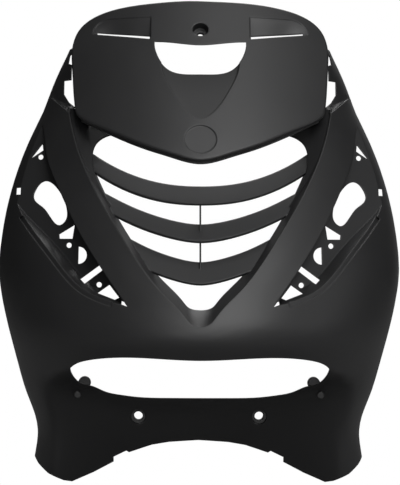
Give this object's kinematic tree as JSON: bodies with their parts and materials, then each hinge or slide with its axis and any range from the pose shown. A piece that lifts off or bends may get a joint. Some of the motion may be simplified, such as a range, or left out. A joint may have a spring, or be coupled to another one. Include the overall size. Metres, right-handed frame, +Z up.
{
  "type": "scooter front cover",
  "caption": "Moulded front cover of a small scooter with a slatted grille, an arched upper panel, lamp pockets at the sides and a wheel arch below.",
  "frame": {"origin": "midway between the two lower fixing holes, in the plane of their rear seats", "axes": "+Z up, -Y to the front of the scooter, +X to the right in the front view"},
  "size_m": [0.4422, 0.2396, 0.5272],
  "materials": {
    "black_plastic": "unpainted, fine satin grain"
  },
  "bodies": {
    "root": {"front_cover": "black_plastic"}
  },
  "joints": []
}
